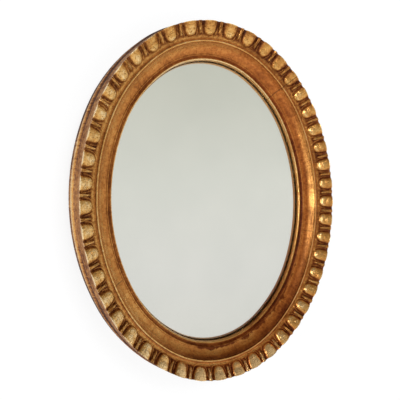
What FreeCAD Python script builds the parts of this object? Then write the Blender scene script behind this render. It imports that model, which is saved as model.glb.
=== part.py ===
import FreeCAD, Part
import math
import os

from FreeCAD import Vector

# Oval wall mirror in a carved, gilded frame.
# Millimetres. The front faces -Y, +Z is up and +X is to the right of someone who looks into the glass.
# The origin is the centre of the oval on the wall plane, where the felt pads touch the wall.

# Oval: the sight edge is a tangent chain of arcs close to an ellipse
SIGHT_HEIGHT = 360.0
SIGHT_WIDTH = 260.0
END_ANGLE = 36.0
SIDE_ANGLE = 66.0
JOINT_ANGLE = 49.0
SHOULDER_RADIUS_SHARE = 1.037

# Things that lie in the rebate behind the sight edge
GLASS_THICKNESS = 4.0
CARD_THICKNESS = 1.2
BOARD_THICKNESS = 4.0
REBATE_WIDTH = 7.0
GLASS_CLEARANCE = 1.0
BOARD_CLEARANCE = 0.5

# Mouldings from the sight edge outwards
LIP_THICKNESS = 5.8
LIP_WIDTH = 2.0
LIP_ROUND_SHARE = 0.5
QUIRK_WIDTH = 2.4
QUIRK_DEPTH = 1.2
RIDGE_WIDTH = 1.8
RIDGE_HEIGHT = 1.6
COVE_WIDTH = 9.3
COVE_RISE = 12.1
COVE_HOLLOW = 2.2
BEAD_WIDTH = 2.4
BEAD_HEIGHT = 1.2
FILLET_WIDTH = 2.6
OVOLO_WIDTH = 14.5
OVOLO_RISE = 11.3
OVOLO_SWELL = 0.9
SCOTIA_WIDTH = 4.0
SCOTIA_DROP = 16.0
SCOTIA_HOLLOW = 0.9
TORUS_WIDTH = 6.0
TORUS_DROP = 19.0
TORUS_SWELL = 1.5
BACK_INSET = 1.0

# Carving on the ovolo: eggs with a dart between each pair
EGG_COUNT = 46
EGG_PHASE_SHARE = 0.726
EGG_WIDTH_SHARE = 0.58
EGG_END_SHARE = 0.92
EGG_WIDEST_SHARE = 0.66
EGG_NOSE_SHARES = (0.24, 0.66)
EGG_HEEL_SHARE = 0.98
EGG_SINK = 2.4
DART_WIDTH_SHARE = 0.075
DART_START_SHARE = 0.16
DART_HEIGHT = 5.9
DART_CREST_SHARES = ((0.46, 0.88), (0.96, 1.0))

# Loose tongues across the four joints
SPLINE_LENGTH = 26.0
SPLINE_WIDTH = 16.0
SPLINE_THICKNESS = 4.0
SPLINE_INSET = 16.0
SPLINE_CLEARANCE = 0.1

# Turn buttons and their screws
BUTTON_ANGLES = (36.0, 90.0, 144.0, 216.0, 270.0, 324.0)
BUTTON_PIVOT_INSET = 9.0
BUTTON_REACH = 19.0
BUTTON_TAIL = 6.5
BUTTON_WIDTH = 12.0
BUTTON_TIP_WIDTH = 9.0
BUTTON_THICKNESS = 1.6
SCREW_RADIUS = 2.0
SCREW_RUNNING_GAP = 0.05
SCREW_GRIP = 12.0
SCREW_HEAD_RADIUS = 3.7
SCREW_HEAD_HEIGHT = 2.2
SLOT_WIDTH = 0.9
SLOT_DEPTH = 1.0
PILOT_GAP = 0.05

# Hanger at the top of the back
PLATE_WIDTH = 36.0
PLATE_HEIGHT = 12.0
PLATE_THICKNESS = 1.2
PLATE_CORNER = 3.0
PLATE_INSET = 2.0
PLATE_SCREW_SPACING = 26.0
PLATE_SCREW_RADIUS = 1.5
PLATE_SCREW_HEAD_RADIUS = 2.7
PLATE_SCREW_GRIP = 14.0
KNUCKLE_LENGTH = 10.0
KNUCKLE_WALL = 1.2
KNUCKLE_LIFT = 3.2
RING_WIRE_RADIUS = 1.25
RING_RUNNING_GAP = 0.05
RING_END_PLAY = 0.5
RING_BEND = 2.5
RING_LEG = 6.0

# Felt pads low on the back
PAD_ANGLES = (("wall_pad_right", 160.0), ("wall_pad_left", 200.0))
PAD_RADIUS = 7.0
PAD_THICKNESS = 6.0
PAD_PLACE_SHARE = 0.6

# How far a cutting solid passes the face that it cuts
OVERRUN = 1.0

Y_AXIS = Vector(0, 1, 0)
X_AXIS = Vector(1, 0, 0)

# Sizes that follow from those above.
# In a cross-section, "out" is the distance outwards from the sight edge and "fore" the distance
# forwards from the back of the frame.
REBATE_DEPTH = GLASS_THICKNESS + CARD_THICKNESS + BOARD_THICKNESS
LIP_FORE = REBATE_DEPTH + LIP_THICKNESS
RIDGE_OUT = LIP_WIDTH + QUIRK_WIDTH
RIDGE_FORE = LIP_FORE + RIDGE_HEIGHT
COVE_OUT = RIDGE_OUT + RIDGE_WIDTH
BEAD_OUT = COVE_OUT + COVE_WIDTH
BEAD_FORE = RIDGE_FORE + COVE_RISE
FILLET_OUT = BEAD_OUT + BEAD_WIDTH
OVOLO_OUT = FILLET_OUT + FILLET_WIDTH
ARRIS_OUT = OVOLO_OUT + OVOLO_WIDTH
ARRIS_FORE = BEAD_FORE + OVOLO_RISE
SCOTIA_OUT = ARRIS_OUT + SCOTIA_WIDTH
SCOTIA_FORE = ARRIS_FORE - SCOTIA_DROP
FRAME_OUT = SCOTIA_OUT + TORUS_WIDTH
TORUS_FORE = SCOTIA_FORE - TORUS_DROP
BACK_OUT = FRAME_OUT - BACK_INSET


def oval_arcs():
    """The eight arcs of the sight edge, clockwise from the top.

    Each is its centre's x and z, its radius, and the angles where it starts and ends.
    """
    half_height = SIGHT_HEIGHT / 2
    half_width = SIGHT_WIDTH / 2
    shoulder = SHOULDER_RADIUS_SHARE * math.sqrt(half_height * half_width)
    sin_end, cos_end = math.sin(math.radians(END_ANGLE)), math.cos(math.radians(END_ANGLE))
    sin_side, cos_side = math.sin(math.radians(SIDE_ANGLE)), math.cos(math.radians(SIDE_ANGLE))
    # Two equations say that the chain ends level with the centre, at the half width
    across = half_width + shoulder * (sin_end - sin_side)
    upward = half_height - shoulder * (cos_end - cos_side)
    scale = sin_end * cos_side - (1 - sin_side) * (1 - cos_end)
    end = (across * cos_side - upward * (1 - sin_side)) / scale
    side = (upward * sin_end - across * (1 - cos_end)) / scale
    end_z = half_height - end
    shoulder_x = (end - shoulder) * sin_end
    shoulder_z = end_z + (end - shoulder) * cos_end
    side_x = half_width - side
    half_turn, full_turn = 180.0, 360.0
    return [
        (0, end_z, end, -END_ANGLE, END_ANGLE),
        (shoulder_x, shoulder_z, shoulder, END_ANGLE, SIDE_ANGLE),
        (side_x, 0, side, SIDE_ANGLE, half_turn - SIDE_ANGLE),
        (shoulder_x, -shoulder_z, shoulder, half_turn - SIDE_ANGLE, half_turn - END_ANGLE),
        (0, -end_z, end, half_turn - END_ANGLE, half_turn + END_ANGLE),
        (-shoulder_x, -shoulder_z, shoulder, half_turn + END_ANGLE, half_turn + SIDE_ANGLE),
        (-side_x, 0, side, half_turn + SIDE_ANGLE, full_turn - SIDE_ANGLE),
        (-shoulder_x, shoulder_z, shoulder, full_turn - SIDE_ANGLE, full_turn - END_ANGLE),
    ]


ARCS = oval_arcs()


def arc_at(angle):
    """The arc whose outward direction takes in this angle."""
    for arc in ARCS:
        turned = (angle - arc[3]) % 360
        if turned <= arc[4] - arc[3]:
            return arc
    raise ValueError("no arc at this angle")


def section_point(out, fore):
    """A point of the cross-section, drawn upright with the sight edge at height zero."""
    return Vector(0, -PAD_THICKNESS - fore, out)


def placed(shape, angle):
    """A shape drawn on the upright cross-section, carried to an angle round the oval."""
    centre_x, centre_z, radius = arc_at(angle)[:3]
    moved = shape.copy()
    moved.rotate(Vector(0, 0, 0), Y_AXIS, angle)
    turn = math.radians(angle)
    moved.translate(Vector(centre_x + radius * math.sin(turn), 0, centre_z + radius * math.cos(turn)))
    return moved


def bowed(start, end, swell):
    """An arc between two section points that stands out by swell to the left of its travel."""
    middle = (start + end) * 0.5
    along = (end - start).normalize()
    side = X_AXIS.cross(along)
    return Part.Arc(start, middle + side * swell, end).toShape()


def straight(start, end):
    return Part.LineSegment(start, end).toShape()


def frame_section():
    """Closed face of the moulding, from the back of the rebate round the front to the back again."""
    lip_round = LIP_ROUND_SHARE * LIP_WIDTH
    rebate_back = section_point(REBATE_WIDTH, 0)
    rebate_corner = section_point(REBATE_WIDTH, REBATE_DEPTH)
    ledge = section_point(0, REBATE_DEPTH)
    lip_foot = section_point(0, LIP_FORE - lip_round)
    lip_crest = section_point(lip_round, LIP_FORE)
    lip_end = section_point(LIP_WIDTH, LIP_FORE - lip_round)
    quirk = section_point(LIP_WIDTH + QUIRK_WIDTH / 2, LIP_FORE - QUIRK_DEPTH)
    ridge = section_point(RIDGE_OUT, RIDGE_FORE)
    cove = section_point(COVE_OUT, RIDGE_FORE)
    bead = section_point(BEAD_OUT, BEAD_FORE)
    bead_crest = section_point(BEAD_OUT + BEAD_WIDTH / 2, BEAD_FORE + BEAD_HEIGHT)
    fillet = section_point(FILLET_OUT, BEAD_FORE)
    ovolo = section_point(OVOLO_OUT, BEAD_FORE)
    arris = section_point(ARRIS_OUT, ARRIS_FORE)
    scotia = section_point(SCOTIA_OUT, SCOTIA_FORE)
    torus = section_point(FRAME_OUT, TORUS_FORE)
    back = section_point(BACK_OUT, 0)
    edges = [
        straight(rebate_back, rebate_corner),
        straight(rebate_corner, ledge),
        straight(ledge, lip_foot),
        Part.Arc(lip_foot, lip_crest, lip_end).toShape(),
        straight(lip_end, quirk),
        straight(quirk, ridge),
        straight(ridge, cove),
        bowed(cove, bead, -COVE_HOLLOW),
        Part.Arc(bead, bead_crest, fillet).toShape(),
        straight(fillet, ovolo),
        bowed(ovolo, arris, OVOLO_SWELL),
        bowed(arris, scotia, -SCOTIA_HOLLOW),
        bowed(scotia, torus, TORUS_SWELL),
        straight(torus, back),
        straight(back, rebate_back),
    ]
    return Part.Face(Part.Wire(edges))


def ring_stretch(section, first, last):
    """The moulding from one angle to another: one turned piece for each arc that it passes."""
    pieces = []
    for centre_x, centre_z, radius, start, end in ARCS:
        for turn in (-360, 0, 360):
            low = max(first, start + turn)
            high = min(last, end + turn)
            if high - low > 0:
                face = section.copy()
                face.translate(Vector(0, 0, radius))
                face.rotate(Vector(0, 0, 0), Y_AXIS, low)
                face.translate(Vector(centre_x, 0, centre_z))
                pieces.append(face.revolve(Vector(centre_x, 0, centre_z), Y_AXIS, high - low))
    return pieces[0].multiFuse(pieces[1:])


def band_length():
    """Length of the line along the middle of the ovolo."""
    return sum((arc[2] + OVOLO_OUT + OVOLO_WIDTH / 2) * math.radians(arc[4] - arc[3]) for arc in ARCS)


def band_angle(share):
    """Angle round the oval where a share of the ovolo's length has gone by, clockwise from the top."""
    middle_out = OVOLO_OUT + OVOLO_WIDTH / 2
    # The first arc starts before the top, so its first half is already behind
    left = (share % 1) * band_length() + (ARCS[0][2] + middle_out) * math.radians(END_ANGLE)
    for centre_x, centre_z, radius, start, end in ARCS + ARCS[:1]:
        stretch = (radius + middle_out) * math.radians(end - start)
        if left <= stretch:
            break
        left -= stretch
    return (start + math.degrees(left / (radius + middle_out))) % 360


def egg():
    """Half egg lying on the ovolo, nose inwards, drawn on the upright cross-section."""
    pitch = band_length() / EGG_COUNT
    widest = EGG_WIDTH_SHARE * pitch / 2
    nose = section_point(OVOLO_OUT, BEAD_FORE - EGG_SINK)
    heel = section_point(ARRIS_OUT, ARRIS_FORE - EGG_SINK)
    along = (heel - nose).normalize()
    length = (heel - nose).Length

    def at(along_share, width_share):
        return nose + along * (along_share * length) + X_AXIS * (width_share * widest)

    nose_arc = Part.Arc(nose, at(*EGG_NOSE_SHARES), at(EGG_WIDEST_SHARE, 1)).toShape()
    heel_middle = at((EGG_WIDEST_SHARE + 1) / 2, EGG_HEEL_SHARE)
    heel_arc = Part.Arc(at(EGG_WIDEST_SHARE, 1), heel_middle, at(1, EGG_END_SHARE)).toShape()
    outline = [nose_arc, heel_arc, straight(at(1, EGG_END_SHARE), heel), straight(heel, nose)]
    return Part.Face(Part.Wire(outline)).revolve(nose, along, -180)


def dart():
    """Thin upright blade between two eggs, drawn on the upright cross-section."""
    pitch = band_length() / EGG_COUNT
    width = DART_WIDTH_SHARE * pitch
    nose = section_point(OVOLO_OUT, BEAD_FORE - EGG_SINK)
    heel = section_point(ARRIS_OUT, ARRIS_FORE - EGG_SINK)
    along = (heel - nose).normalize()
    up = X_AXIS.cross(along)
    length = (heel - nose).Length

    def at(along_share, height_share):
        return nose + along * (along_share * length) + up * (height_share * DART_HEIGHT)

    start = at(DART_START_SHARE, 0)
    crest = at(*DART_CREST_SHARES[0])
    shoulder = at(*DART_CREST_SHARES[1])
    outline = [Part.Arc(start, crest, shoulder).toShape(), straight(shoulder, heel), straight(heel, start)]
    blade = Part.Face(Part.Wire(outline))
    blade.translate(X_AXIS * (-width / 2))
    return blade.extrude(X_AXIS * width)


def half_space(angle, side):
    """Block on one side of the joint plane at an angle: side 1 lies clockwise of it, -1 the other way."""
    reach = SIGHT_HEIGHT
    block = Part.makeBox(reach, reach, reach)
    low_x = 0 if side > 0 else -reach
    block.translate(Vector(low_x, -reach / 2, -reach / 2))
    return placed(block, angle)


def spline_box(gap):
    """Tongue across a joint, larger by a gap all round, drawn on the upright cross-section."""
    box = Part.makeBox(SPLINE_LENGTH + 2 * gap, SPLINE_THICKNESS + 2 * gap, SPLINE_WIDTH + 2 * gap)
    middle_fore = REBATE_DEPTH / 2
    corner = section_point(SPLINE_INSET - gap, middle_fore + SPLINE_THICKNESS / 2 + gap)
    box.translate(corner - X_AXIS * (SPLINE_LENGTH / 2 + gap))
    return box


def round_bar(out, first_fore, last_fore, radius):
    """Cylinder along the depth of the frame, drawn on the upright cross-section."""
    return Part.makeCylinder(radius, last_fore - first_fore, section_point(out, first_fore), -Y_AXIS)


def plate_screw_out():
    return REBATE_WIDTH + PLATE_INSET + PLATE_HEIGHT / 2


def plate_screw_spots():
    spread = PLATE_SCREW_SPACING / 2
    top = SIGHT_HEIGHT / 2 + plate_screw_out()
    return [Vector(side * spread, -PAD_THICKNESS, top) for side in (-1, 1)]


def frame_segment(section, first, last, carvings):
    """One carved quarter of the frame, with its spline slots and the holes for its screws."""
    body = ring_stretch(section, first, last)
    margin = 360 / EGG_COUNT
    fore = half_space(first, 1)
    aft = half_space(last, -1)
    carved = []
    for angle, shape in carvings:
        for turn in (-360, 0):
            here = angle + turn
            if first - margin < here < last + margin:
                piece = placed(shape, here)
                if here < first + margin:
                    piece = piece.common(fore)
                if here > last - margin:
                    piece = piece.common(aft)
                if piece.Volume > 0:
                    carved.append(piece)
    body = body.multiFuse(carved)
    slot = spline_box(SPLINE_CLEARANCE)
    cuts = [placed(slot, first), placed(slot, last)]
    button_out = REBATE_WIDTH + BUTTON_PIVOT_INSET
    pilot = round_bar(button_out, -OVERRUN, SCREW_GRIP, SCREW_RADIUS + PILOT_GAP)
    for angle in BUTTON_ANGLES:
        if first < angle < last or first < angle - 360 < last:
            cuts.append(placed(pilot, angle))
    if first < 0:
        for spot in plate_screw_spots():
            start = spot + Y_AXIS * OVERRUN
            hole_length = PLATE_SCREW_GRIP - PLATE_THICKNESS + OVERRUN
            cuts.append(Part.makeCylinder(PLATE_SCREW_RADIUS + PILOT_GAP, hole_length, start, -Y_AXIS))
    return body.cut(cuts)


def oval_plate(out, back_fore, thickness):
    """Flat oval slab whose edge lies a distance outwards from the sight edge."""
    edges = []
    for centre_x, centre_z, radius, start, end in ARCS:
        points = []
        for angle in (start, (start + end) / 2, end):
            turn = math.radians(angle)
            x = centre_x + (radius + out) * math.sin(turn)
            z = centre_z + (radius + out) * math.cos(turn)
            points.append(Vector(x, -PAD_THICKNESS - back_fore, z))
        edges.append(Part.Arc(*points).toShape())
    return Part.Face(Part.Wire(edges)).extrude(-Y_AXIS * thickness)


def turn_button():
    """Flat tapered button on its pivot, closed over the board, drawn on the upright cross-section."""
    pivot_out = REBATE_WIDTH + BUTTON_PIVOT_INSET
    half = BUTTON_WIDTH / 2
    tip_half = BUTTON_TIP_WIDTH / 2

    def at(x, up):
        return section_point(pivot_out + up, 0) + X_AXIS * x

    tip_side_up = tip_half - BUTTON_REACH
    outline = [
        Part.Arc(at(-half, 0), at(0, BUTTON_TAIL), at(half, 0)).toShape(),
        straight(at(half, 0), at(tip_half, tip_side_up)),
        Part.Arc(at(tip_half, tip_side_up), at(0, -BUTTON_REACH), at(-tip_half, tip_side_up)).toShape(),
        straight(at(-tip_half, tip_side_up), at(-half, 0)),
    ]
    plate = Part.Face(Part.Wire(outline)).extrude(Y_AXIS * BUTTON_THICKNESS)
    hole = round_bar(pivot_out, -BUTTON_THICKNESS - OVERRUN, OVERRUN, SCREW_RADIUS + SCREW_RUNNING_GAP)
    return plate.cut(hole)


def button_screw():
    """Round-head screw that a button turns on, with a slot across its head."""
    pivot_out = REBATE_WIDTH + BUTTON_PIVOT_INSET
    shank = round_bar(pivot_out, -BUTTON_THICKNESS - OVERRUN, SCREW_GRIP, SCREW_RADIUS)
    head_base = section_point(pivot_out, -BUTTON_THICKNESS)
    ball_radius = (SCREW_HEAD_RADIUS ** 2 + SCREW_HEAD_HEIGHT ** 2) / (2 * SCREW_HEAD_HEIGHT)
    ball = Part.makeSphere(ball_radius)
    ball.translate(head_base - Y_AXIS * (ball_radius - SCREW_HEAD_HEIGHT))
    cap = Part.makeCylinder(SCREW_HEAD_RADIUS, SCREW_HEAD_HEIGHT, head_base, Y_AXIS)
    slot = Part.makeBox(2 * SCREW_HEAD_RADIUS, SLOT_DEPTH, SLOT_WIDTH)
    slot.translate(head_base + Vector(-SCREW_HEAD_RADIUS, SCREW_HEAD_HEIGHT - SLOT_DEPTH, -SLOT_WIDTH / 2))
    return shank.fuse(ball.common(cap)).cut(slot)


def knuckle_centre():
    """Middle of the hanger's hinge line."""
    top = SIGHT_HEIGHT / 2 + REBATE_WIDTH + PLATE_INSET + PLATE_HEIGHT
    return Vector(0, -PAD_THICKNESS + KNUCKLE_LIFT, top + RING_WIRE_RADIUS + KNUCKLE_WALL)


def hanger_plate():
    """Flat plate with a knuckle rolled along the middle of its top edge."""
    centre = knuckle_centre()
    low = SIGHT_HEIGHT / 2 + REBATE_WIDTH + PLATE_INSET
    plate = Part.makeBox(PLATE_WIDTH, PLATE_THICKNESS, PLATE_HEIGHT)
    plate.translate(Vector(-PLATE_WIDTH / 2, -PAD_THICKNESS, low))
    upright = [edge for edge in plate.Edges if abs(edge.tangentAt(edge.FirstParameter).y) > 0.5]
    plate = plate.makeFillet(PLATE_CORNER, upright)
    bore = RING_WIRE_RADIUS + RING_RUNNING_GAP
    left = centre - X_AXIS * (KNUCKLE_LENGTH / 2)
    tube = Part.makeCylinder(bore + KNUCKLE_WALL, KNUCKLE_LENGTH, left, X_AXIS)
    neck_low = low + PLATE_HEIGHT - KNUCKLE_WALL
    neck = Part.makeBox(KNUCKLE_LENGTH, KNUCKLE_LIFT, centre.z - neck_low)
    neck.translate(Vector(-KNUCKLE_LENGTH / 2, -PAD_THICKNESS, neck_low))
    start = left - X_AXIS * OVERRUN
    eye = Part.makeCylinder(bore, KNUCKLE_LENGTH + 2 * OVERRUN, start, X_AXIS)
    cuts = [eye]
    for spot in plate_screw_spots():
        sink = PLATE_SCREW_HEAD_RADIUS - PLATE_SCREW_RADIUS
        outer = PLATE_SCREW_HEAD_RADIUS + PILOT_GAP
        inner = PLATE_SCREW_RADIUS + PILOT_GAP
        rear = spot + Y_AXIS * PLATE_THICKNESS
        cuts.append(Part.makeCone(outer, inner, sink, rear, -Y_AXIS))
        cuts.append(Part.makeCylinder(inner, PLATE_THICKNESS + OVERRUN, rear, -Y_AXIS))
    return plate.fuse([tube, neck]).cut(cuts)


def hanger_screw(spot):
    """Countersunk screw whose head ends level with the plate."""
    sink = PLATE_SCREW_HEAD_RADIUS - PLATE_SCREW_RADIUS
    rear = spot + Y_AXIS * PLATE_THICKNESS
    head = Part.makeCone(PLATE_SCREW_HEAD_RADIUS, PLATE_SCREW_RADIUS, sink, rear, -Y_AXIS)
    shank = Part.makeCylinder(PLATE_SCREW_RADIUS, PLATE_SCREW_GRIP, rear, -Y_AXIS)
    return head.fuse(shank)


def hanger_ring():
    """Wire ring with a straight bar through the knuckle, hanging down."""
    centre = knuckle_centre()
    half_bar = KNUCKLE_LENGTH / 2 + RING_END_PLAY
    bow = half_bar + RING_BEND
    down = Vector(0, 0, -1)
    pieces = [Part.makeCylinder(RING_WIRE_RADIUS, 2 * half_bar, centre - X_AXIS * half_bar, X_AXIS)]
    for side in (-1, 1):
        bar_end = centre + X_AXIS * (side * half_bar)
        bend_centre = bar_end + down * RING_BEND
        disc = Part.Face(Part.Wire(Part.makeCircle(RING_WIRE_RADIUS, bar_end, X_AXIS)))
        pieces.append(disc.revolve(bend_centre, Y_AXIS, side * 90))
        leg_top = bend_centre + X_AXIS * (side * RING_BEND)
        pieces.append(Part.makeCylinder(RING_WIRE_RADIUS, RING_LEG, leg_top, down))
    bow_start = centre + X_AXIS * bow + down * (RING_BEND + RING_LEG)
    bow_centre = centre + down * (RING_BEND + RING_LEG)
    disc = Part.Face(Part.Wire(Part.makeCircle(RING_WIRE_RADIUS, bow_start, down)))
    pieces.append(disc.revolve(bow_centre, Y_AXIS, 180))
    return pieces[0].multiFuse(pieces[1:])


def wall_pad():
    """Felt disc stuck to the back of the frame, drawn on the upright cross-section."""
    pad_out = REBATE_WIDTH + PAD_PLACE_SHARE * (BACK_OUT - REBATE_WIDTH)
    return round_bar(pad_out, -PAD_THICKNESS, 0, PAD_RADIUS)


def save(name, shape):
    solids = shape.Solids
    if not shape.isValid() or not solids:
        raise ValueError(name + " is not a valid solid")
    whole = solids[0] if len(solids) == 1 else Part.makeCompound(solids)
    whole.exportStep(os.path.join("parts", name + ".step"))
    print(name, "solids", len(solids), "volume", round(shape.Volume))


def main():
    os.makedirs("parts", exist_ok=True)

    section = frame_section()
    egg_shape = egg()
    dart_shape = dart()
    carvings = []
    for number in range(EGG_COUNT):
        carvings.append((band_angle((number + EGG_PHASE_SHARE) / EGG_COUNT), egg_shape))
        carvings.append((band_angle((number + EGG_PHASE_SHARE + 0.5) / EGG_COUNT), dart_shape))
    for name, middle in (("top", 0), ("right", 90), ("bottom", 180), ("left", 270)):
        first = middle - JOINT_ANGLE if middle % 180 == 0 else middle - 90 + JOINT_ANGLE
        last = 2 * middle - first
        save("frame_segment_" + name, frame_segment(section, first, last, carvings))

    tongue = spline_box(0)
    joints = {"upper_right": JOINT_ANGLE, "lower_right": 180 - JOINT_ANGLE,
              "lower_left": 180 + JOINT_ANGLE, "upper_left": 360 - JOINT_ANGLE}
    for name, angle in joints.items():
        save("joint_spline_" + name, placed(tongue, angle))

    glass_out = REBATE_WIDTH - GLASS_CLEARANCE
    board_out = REBATE_WIDTH - BOARD_CLEARANCE
    save("mirror_glass", oval_plate(glass_out, BOARD_THICKNESS + CARD_THICKNESS, GLASS_THICKNESS))
    save("backing_card", oval_plate(glass_out, BOARD_THICKNESS, CARD_THICKNESS))
    save("backboard", oval_plate(board_out, 0, BOARD_THICKNESS))

    button = turn_button()
    screw = button_screw()
    for number, angle in enumerate(BUTTON_ANGLES, 1):
        save("turn_button_" + str(number), placed(button, angle))
    save("turn_button_screws", Part.makeCompound([placed(screw, angle) for angle in BUTTON_ANGLES]))

    save("hanger_plate", hanger_plate())
    save("hanger_ring", hanger_ring())
    save("hanger_screws", Part.makeCompound([hanger_screw(spot) for spot in plate_screw_spots()]))

    pad = wall_pad()
    for name, angle in PAD_ANGLES:
        save(name, placed(pad, angle))

    print("overall height", SIGHT_HEIGHT + 2 * FRAME_OUT, "width", SIGHT_WIDTH + 2 * FRAME_OUT)


main()
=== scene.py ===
# %% [markdown]
# # An oval mirror in a carved and gilded frame
# The solids of this mirror come from a CAD model: four lengths of moulding joined into an oval, the glass,
# and the hardware on the back. In this lesson we give them their looks. We carve and gild the moulding,
# silver the glass, and finish the wood, metal and felt behind it. Each step says what the piece is on the
# real object, how it could be made, and why it is made this way here.

# %% Load the solids
import math

import bmesh
import bpy
import numpy as np
from mathutils import Matrix, Vector


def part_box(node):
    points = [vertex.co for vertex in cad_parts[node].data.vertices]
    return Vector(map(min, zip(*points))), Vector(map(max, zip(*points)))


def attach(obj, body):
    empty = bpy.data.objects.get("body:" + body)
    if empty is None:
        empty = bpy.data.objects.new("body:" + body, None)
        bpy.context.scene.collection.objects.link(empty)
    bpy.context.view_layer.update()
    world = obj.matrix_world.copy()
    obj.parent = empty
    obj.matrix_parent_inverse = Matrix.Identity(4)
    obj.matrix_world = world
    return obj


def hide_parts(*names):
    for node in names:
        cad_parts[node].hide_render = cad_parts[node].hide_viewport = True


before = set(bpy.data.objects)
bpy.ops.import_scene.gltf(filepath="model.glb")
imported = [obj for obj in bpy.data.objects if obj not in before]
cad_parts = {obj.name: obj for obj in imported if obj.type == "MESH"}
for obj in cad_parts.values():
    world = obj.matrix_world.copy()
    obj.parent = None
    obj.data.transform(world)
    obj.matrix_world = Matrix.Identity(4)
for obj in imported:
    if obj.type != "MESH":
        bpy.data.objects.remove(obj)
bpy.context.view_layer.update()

# %% [markdown]
# ## The camera
# The picture that we match was taken from close by, a little to the left, with the camera turned by under
# three degrees. A near camera makes the right side of the oval smaller than the left. We could aim a camera
# with a constraint, but a place, a point to look at and a roll are all that is needed, and nothing stays
# live.

# %% Place the camera
CAMERA_PLACE = Vector((-0.16764, -0.38972, 0.02683))
CAMERA_AIM = Vector((-0.02261, -0.02072, 0.00579))
CAMERA_ROLL = math.radians(-2.66)
CAMERA_LENS = 28.54

camera = bpy.data.objects.new("camera", bpy.data.cameras.new("camera"))
bpy.context.scene.collection.objects.link(camera)
bpy.context.scene.camera = camera
camera.data.lens = CAMERA_LENS
camera.data.sensor_width = 36.0
camera.data.clip_start = 0.01
sight = CAMERA_AIM - CAMERA_PLACE
aimed = sight.to_track_quat("-Z", "Y").to_matrix().to_4x4()
camera.matrix_world = Matrix.Translation(CAMERA_PLACE) @ aimed @ Matrix.Rotation(CAMERA_ROLL, 4, "Z")
print("camera to mirror in mm:", round(1000 * sight.length))

# %% [markdown]
# ## Colours and nodes
# Colours are easiest to note down as they look on a screen, as hex values. Shaders work in linear light, so
# one function converts them. A second small function adds a node, sets its values and joins it to earlier
# nodes, so that each finish further on reads as a short recipe. Pattern sizes are real ones: a noise
# texture repeats about once per unit at scale 1, and the unit here is the metre.

# %% Helpers for colours and nodes
def tint(code):
    """Linear colour of a hex value."""
    parts = [int(code[i:i + 2], 16) / 255 for i in (1, 3, 5)]
    linear = [c / 12.92 if c <= 0.04045 else ((c + 0.055) / 1.055) ** 2.4 for c in parts]
    return (*linear, 1.0)


def per_mm(size):
    """Scale of a pattern whose features are about this many millimetres apart."""
    return 1000.0 / size


def add(tree, kind, inputs=None, out=0, stops=None, **settings):
    """Add a node and give back one of its outputs.

    Inputs are values or sockets to join, stops are the places and hex colours of a ramp.
    """
    made = tree.nodes.new("ShaderNode" + kind)
    for name, value in settings.items():
        setattr(made, name, value)
    for name, value in (inputs or {}).items():
        if isinstance(value, bpy.types.NodeSocket):
            tree.links.new(value, made.inputs[name])
        else:
            made.inputs[name].default_value = value
    if stops:
        ramp = made.color_ramp.elements
        while len(ramp) < len(stops):
            ramp.new(1.0)
        for element, (place, colour) in zip(ramp, stops):
            element.position = place
            element.color = tint(colour)
    return made.outputs[out] if made.outputs else None


def new_material(name):
    """An empty node material, and the tree to fill."""
    material = bpy.data.materials.new(name)
    material.use_nodes = True
    material.node_tree.nodes.clear()
    return material, material.node_tree


print("white is", tint("#FFFFFF")[0], "and a 4 mm pattern has scale", per_mm(4.0))

# %% [markdown]
# ## The oval
# A framer lays out an oval with a compass: eight arcs that run smoothly into each other, two at the ends,
# two at the sides and four shoulders. The moulding keeps one cross-section all the way, so its lines are
# arcs about the same eight centres. That suits Blender's spin operator, which turns a section about a
# point.

# %% Lay out the oval
# Millimetres. Angles are in degrees, clockwise from the top, as seen from the front.
SIGHT_HEIGHT, SIGHT_WIDTH = 360.0, 260.0
END_ANGLE, SIDE_ANGLE, JOINT_ANGLE = 36.0, 66.0, 49.0
SHOULDER_SHARE = 1.037
PAD_THICKNESS = 6.0


def oval_arcs():
    """Centre x, centre z, radius, first and last angle of each arc of the sight edge, from the top."""
    half_height, half_width = SIGHT_HEIGHT / 2, SIGHT_WIDTH / 2
    shoulder = SHOULDER_SHARE * math.sqrt(half_height * half_width)
    end_sin, end_cos = math.sin(math.radians(END_ANGLE)), math.cos(math.radians(END_ANGLE))
    side_sin, side_cos = math.sin(math.radians(SIDE_ANGLE)), math.cos(math.radians(SIDE_ANGLE))
    across = half_width + shoulder * (end_sin - side_sin)
    upward = half_height - shoulder * (end_cos - side_cos)
    scale = end_sin * side_cos - (1 - side_sin) * (1 - end_cos)
    end = (across * side_cos - upward * (1 - side_sin)) / scale
    side = (upward * end_sin - across * (1 - end_cos)) / scale
    end_z = half_height - end
    shoulder_x = (end - shoulder) * end_sin
    shoulder_z = end_z + (end - shoulder) * end_cos
    side_x = half_width - side
    return [
        (0.0, end_z, end, -END_ANGLE, END_ANGLE),
        (shoulder_x, shoulder_z, shoulder, END_ANGLE, SIDE_ANGLE),
        (side_x, 0.0, side, SIDE_ANGLE, 180 - SIDE_ANGLE),
        (shoulder_x, -shoulder_z, shoulder, 180 - SIDE_ANGLE, 180 - END_ANGLE),
        (0.0, -end_z, end, 180 - END_ANGLE, 180 + END_ANGLE),
        (-shoulder_x, -shoulder_z, shoulder, 180 + END_ANGLE, 180 + SIDE_ANGLE),
        (-side_x, 0.0, side, 180 + SIDE_ANGLE, 360 - SIDE_ANGLE),
        (-shoulder_x, shoulder_z, shoulder, 360 - SIDE_ANGLE, 360 - END_ANGLE),
    ]


ARCS = oval_arcs()
print("arc radii in mm:", [round(arc[2], 1) for arc in ARCS[:3]])

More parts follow.
